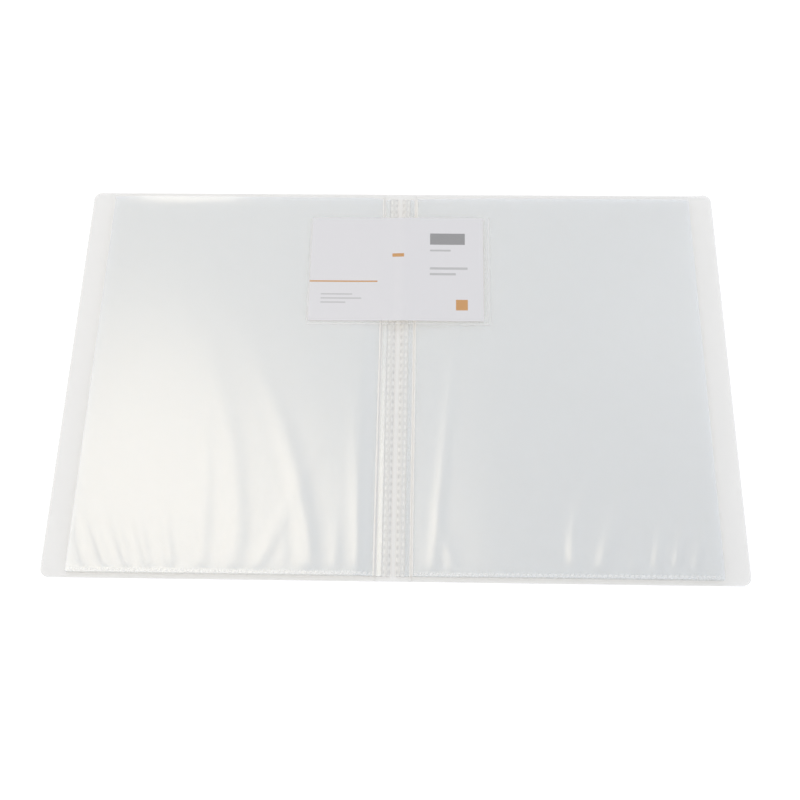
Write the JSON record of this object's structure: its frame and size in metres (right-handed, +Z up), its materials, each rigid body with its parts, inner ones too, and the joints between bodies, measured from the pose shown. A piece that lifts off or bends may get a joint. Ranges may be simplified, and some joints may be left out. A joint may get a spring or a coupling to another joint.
{
  "type": "pocket display book",
  "caption": "Soft-cover display book for A4 sheets, lying open, with two welded blocks of clear film pockets that turn like pages and a folded label card in a clear sleeve.",
  "frame": {"origin": "on the table under the middle of the spine of the open book", "axes": "+X across the spread to the right, +Y towards the open tops of the pockets, +Z up"},
  "size_m": [0.491, 0.3134, 0.0066],
  "materials": {
    "cover_sheet": "translucent polypropylene sheet with a fine satin grain",
    "pocket_film": "clear glossy film, slightly rippled",
    "weld_seam": "clear film fused in rows of weld dots",
    "label_card": "white coated card, printed in grey and orange",
    "label_sleeve": "clear glossy film"
  },
  "bodies": {
    "spine": {"spine_panel": "cover_sheet", "front_weld_seam": "weld_seam", "back_weld_seam": "weld_seam", "label_middle": "label_card", "sleeve_middle": "label_sleeve"},
    "front_cover": {"front_cover": "cover_sheet"},
    "back_cover": {"back_cover": "cover_sheet"},
    "front_margin": {"front_margin": "pocket_film"},
    "back_margin": {"back_margin": "pocket_film"},
    "pocket_01": {"pocket_01": "pocket_film"},
    "pocket_02": {"pocket_02": "pocket_film"},
    "pocket_03": {"pocket_03": "pocket_film"},
    "pocket_04": {"pocket_04": "pocket_film"},
    "pocket_05": {"pocket_05": "pocket_film"},
    "pocket_06": {"pocket_06": "pocket_film"},
    "pocket_07": {"pocket_07": "pocket_film"},
    "pocket_08": {"pocket_08": "pocket_film"},
    "pocket_09": {"pocket_09": "pocket_film"},
    "pocket_10": {"pocket_10": "pocket_film"},
    "pocket_11": {"pocket_11": "pocket_film"},
    "pocket_12": {"pocket_12": "pocket_film"},
    "pocket_13": {"pocket_13": "pocket_film"},
    "pocket_14": {"pocket_14": "pocket_film"},
    "pocket_15": {"pocket_15": "pocket_film"},
    "pocket_16": {"pocket_16": "pocket_film"},
    "pocket_17": {"pocket_17": "pocket_film"},
    "pocket_18": {"pocket_18": "pocket_film"},
    "pocket_19": {"pocket_19": "pocket_film"},
    "pocket_20": {"pocket_20": "pocket_film"},
    "pocket_40": {"pocket_40": "pocket_film"},
    "pocket_39": {"pocket_39": "pocket_film"},
    "pocket_38": {"pocket_38": "pocket_film"},
    "pocket_37": {"pocket_37": "pocket_film"},
    "pocket_36": {"pocket_36": "pocket_film"},
    "pocket_35": {"pocket_35": "pocket_film"},
    "pocket_34": {"pocket_34": "pocket_film"},
    "pocket_33": {"pocket_33": "pocket_film"},
    "pocket_32": {"pocket_32": "pocket_film"},
    "pocket_31": {"pocket_31": "pocket_film"},
    "pocket_30": {"pocket_30": "pocket_film"},
    "pocket_29": {"pocket_29": "pocket_film"},
    "pocket_28": {"pocket_28": "pocket_film"},
    "pocket_27": {"pocket_27": "pocket_film"},
    "pocket_26": {"pocket_26": "pocket_film"},
    "pocket_25": {"pocket_25": "pocket_film"},
    "pocket_24": {"pocket_24": "pocket_film"},
    "pocket_23": {"pocket_23": "pocket_film"},
    "pocket_22": {"pocket_22": "pocket_film"},
    "pocket_21": {"pocket_21": "pocket_film"},
    "label_left": {"label_left_wing": "label_card", "sleeve_left_wing": "label_sleeve"},
    "label_right": {"label_right_wing": "label_card", "sleeve_right_wing": "label_sleeve"}
  },
  "joints": [
    {"name": "front_cover_hinge", "type": "hinge", "parent": "spine", "child": "front_cover", "pos_m": [-0.0125, 0, 0.00025], "axis": [0, -1, 0], "range_deg": [-90, 0]},
    {"name": "back_cover_hinge", "type": "hinge", "parent": "spine", "child": "back_cover", "pos_m": [0.0125, 0, 0.00025], "axis": [0, 1, 0], "range_deg": [-90, 0]},
    {"name": "front_margin_flex", "type": "hinge", "parent": "spine", "child": "front_margin", "pos_m": [-0.0048, 0, 0.00738], "axis": [0, -1, 0], "range_deg": [-90, 0]},
    {"name": "back_margin_flex", "type": "hinge", "parent": "spine", "child": "back_margin", "pos_m": [0.0048, 0, 0.00738], "axis": [0, 1, 0], "range_deg": [-90, 0]},
    {"name": "pocket_01_turn", "type": "hinge", "parent": "front_margin", "child": "pocket_01", "pos_m": [-0.0048, 0, 0.00738], "axis": [0, 1, 0], "range_deg": [0, 180]},
    {"name": "pocket_02_turn", "type": "hinge", "parent": "pocket_01", "child": "pocket_02", "pos_m": [-0.0048, 0, 0.00738], "axis": [0, 1, 0], "range_deg": [0, 180]},
    {"name": "pocket_03_turn", "type": "hinge", "parent": "pocket_02", "child": "pocket_03", "pos_m": [-0.0048, 0, 0.00738], "axis": [0, 1, 0], "range_deg": [0, 180]},
    {"name": "pocket_04_turn", "type": "hinge", "parent": "pocket_03", "child": "pocket_04", "pos_m": [-0.0048, 0, 0.00738], "axis": [0, 1, 0], "range_deg": [0, 180]},
    {"name": "pocket_05_turn", "type": "hinge", "parent": "pocket_04", "child": "pocket_05", "pos_m": [-0.0048, 0, 0.00738], "axis": [0, 1, 0], "range_deg": [0, 180]},
    {"name": "pocket_06_turn", "type": "hinge", "parent": "pocket_05", "child": "pocket_06", "pos_m": [-0.0048, 0, 0.00738], "axis": [0, 1, 0], "range_deg": [0, 180]},
    {"name": "pocket_07_turn", "type": "hinge", "parent": "pocket_06", "child": "pocket_07", "pos_m": [-0.0048, 0, 0.00738], "axis": [0, 1, 0], "range_deg": [0, 180]},
    {"name": "pocket_08_turn", "type": "hinge", "parent": "pocket_07", "child": "pocket_08", "pos_m": [-0.0048, 0, 0.00738], "axis": [0, 1, 0], "range_deg": [0, 180]},
    {"name": "pocket_09_turn", "type": "hinge", "parent": "pocket_08", "child": "pocket_09", "pos_m": [-0.0048, 0, 0.00738], "axis": [0, 1, 0], "range_deg": [0, 180]},
    {"name": "pocket_10_turn", "type": "hinge", "parent": "pocket_09", "child": "pocket_10", "pos_m": [-0.0048, 0, 0.00738], "axis": [0, 1, 0], "range_deg": [0, 180]},
    {"name": "pocket_11_turn", "type": "hinge", "parent": "pocket_10", "child": "pocket_11", "pos_m": [-0.0048, 0, 0.00738], "axis": [0, 1, 0], "range_deg": [0, 180]},
    {"name": "pocket_12_turn", "type": "hinge", "parent": "pocket_11", "child": "pocket_12", "pos_m": [-0.0048, 0, 0.00738], "axis": [0, 1, 0], "range_deg": [0, 180]},
    {"name": "pocket_13_turn", "type": "hinge", "parent": "pocket_12", "child": "pocket_13", "pos_m": [-0.0048, 0, 0.00738], "axis": [0, 1, 0], "range_deg": [0, 180]},
    {"name": "pocket_14_turn", "type": "hinge", "parent": "pocket_13", "child": "pocket_14", "pos_m": [-0.0048, 0, 0.00738], "axis": [0, 1, 0], "range_deg": [0, 180]},
    {"name": "pocket_15_turn", "type": "hinge", "parent": "pocket_14", "child": "pocket_15", "pos_m": [-0.0048, 0, 0.00738], "axis": [0, 1, 0], "range_deg": [0, 180]},
    {"name": "pocket_16_turn", "type": "hinge", "parent": "pocket_15", "child": "pocket_16", "pos_m": [-0.0048, 0, 0.00738], "axis": [0, 1, 0], "range_deg": [0, 180]},
    {"name": "pocket_17_turn", "type": "hinge", "parent": "pocket_16", "child": "pocket_17", "pos_m": [-0.0048, 0, 0.00738], "axis": [0, 1, 0], "range_deg": [0, 180]},
    {"name": "pocket_18_turn", "type": "hinge", "parent": "pocket_17", "child": "pocket_18", "pos_m": [-0.0048, 0, 0.00738], "axis": [0, 1, 0], "range_deg": [0, 180]},
    {"name": "pocket_19_turn", "type": "hinge", "parent": "pocket_18", "child": "pocket_19", "pos_m": [-0.0048, 0, 0.00738], "axis": [0, 1, 0], "range_deg": [0, 180]},
    {"name": "pocket_20_turn", "type": "hinge", "parent": "pocket_19", "child": "pocket_20", "pos_m": [-0.0048, 0, 0.00738], "axis": [0, 1, 0], "range_deg": [0, 180]},
    {"name": "pocket_40_turn", "type": "hinge", "parent": "back_margin", "child": "pocket_40", "pos_m": [0.0048, 0, 0.00738], "axis": [0, -1, 0], "range_deg": [0, 180]},
    {"name": "pocket_39_turn", "type": "hinge", "parent": "pocket_40", "child": "pocket_39", "pos_m": [0.0048, 0, 0.00738], "axis": [0, -1, 0], "range_deg": [0, 180]},
    {"name": "pocket_38_turn", "type": "hinge", "parent": "pocket_39", "child": "pocket_38", "pos_m": [0.0048, 0, 0.00738], "axis": [0, -1, 0], "range_deg": [0, 180]},
    {"name": "pocket_37_turn", "type": "hinge", "parent": "pocket_38", "child": "pocket_37", "pos_m": [0.0048, 0, 0.00738], "axis": [0, -1, 0], "range_deg": [0, 180]},
    {"name": "pocket_36_turn", "type": "hinge", "parent": "pocket_37", "child": "pocket_36", "pos_m": [0.0048, 0, 0.00738], "axis": [0, -1, 0], "range_deg": [0, 180]},
    {"name": "pocket_35_turn", "type": "hinge", "parent": "pocket_36", "child": "pocket_35", "pos_m": [0.0048, 0, 0.00738], "axis": [0, -1, 0], "range_deg": [0, 180]},
    {"name": "pocket_34_turn", "type": "hinge", "parent": "pocket_35", "child": "pocket_34", "pos_m": [0.0048, 0, 0.00738], "axis": [0, -1, 0], "range_deg": [0, 180]},
    {"name": "pocket_33_turn", "type": "hinge", "parent": "pocket_34", "child": "pocket_33", "pos_m": [0.0048, 0, 0.00738], "axis": [0, -1, 0], "range_deg": [0, 180]},
    {"name": "pocket_32_turn", "type": "hinge", "parent": "pocket_33", "child": "pocket_32", "pos_m": [0.0048, 0, 0.00738], "axis": [0, -1, 0], "range_deg": [0, 180]},
    {"name": "pocket_31_turn", "type": "hinge", "parent": "pocket_32", "child": "pocket_31", "pos_m": [0.0048, 0, 0.00738], "axis": [0, -1, 0], "range_deg": [0, 180]},
    {"name": "pocket_30_turn", "type": "hinge", "parent": "pocket_31", "child": "pocket_30", "pos_m": [0.0048, 0, 0.00738], "axis": [0, -1, 0], "range_deg": [0, 180]},
    {"name": "pocket_29_turn", "type": "hinge", "parent": "pocket_30", "child": "pocket_29", "pos_m": [0.0048, 0, 0.00738], "axis": [0, -1, 0], "range_deg": [0, 180]},
    {"name": "pocket_28_turn", "type": "hinge", "parent": "pocket_29", "child": "pocket_28", "pos_m": [0.0048, 0, 0.00738], "axis": [0, -1, 0], "range_deg": [0, 180]},
    {"name": "pocket_27_turn", "type": "hinge", "parent": "pocket_28", "child": "pocket_27", "pos_m": [0.0048, 0, 0.00738], "axis": [0, -1, 0], "range_deg": [0, 180]},
    {"name": "pocket_26_turn", "type": "hinge", "parent": "pocket_27", "child": "pocket_26", "pos_m": [0.0048, 0, 0.00738], "axis": [0, -1, 0], "range_deg": [0, 180]},
    {"name": "pocket_25_turn", "type": "hinge", "parent": "pocket_26", "child": "pocket_25", "pos_m": [0.0048, 0, 0.00738], "axis": [0, -1, 0], "range_deg": [0, 180]},
    {"name": "pocket_24_turn", "type": "hinge", "parent": "pocket_25", "child": "pocket_24", "pos_m": [0.0048, 0, 0.00738], "axis": [0, -1, 0], "range_deg": [0, 180]},
    {"name": "pocket_23_turn", "type": "hinge", "parent": "pocket_24", "child": "pocket_23", "pos_m": [0.0048, 0, 0.00738], "axis": [0, -1, 0], "range_deg": [0, 180]},
    {"name": "pocket_22_turn", "type": "hinge", "parent": "pocket_23", "child": "pocket_22", "pos_m": [0.0048, 0, 0.00738], "axis": [0, -1, 0], "range_deg": [0, 180]},
    {"name": "pocket_21_turn", "type": "hinge", "parent": "pocket_22", "child": "pocket_21", "pos_m": [0.0048, 0, 0.00738], "axis": [0, -1, 0], "range_deg": [0, 180]},
    {"name": "label_left_fold", "type": "hinge", "parent": "pocket_20", "child": "label_left", "pos_m": [-0.0048, 0, 0.00738], "axis": [0, 1, 0], "range_deg": [0, 180]},
    {"name": "label_right_fold", "type": "hinge", "parent": "pocket_21", "child": "label_right", "pos_m": [0.0048, 0, 0.00738], "axis": [0, -1, 0], "range_deg": [0, 180]}
  ],
  "couplings": [
    {"joint": "front_cover_hinge", "follows": "front_margin_flex", "ratio": 1},
    {"joint": "back_cover_hinge", "follows": "back_margin_flex", "ratio": 1}
  ]
}
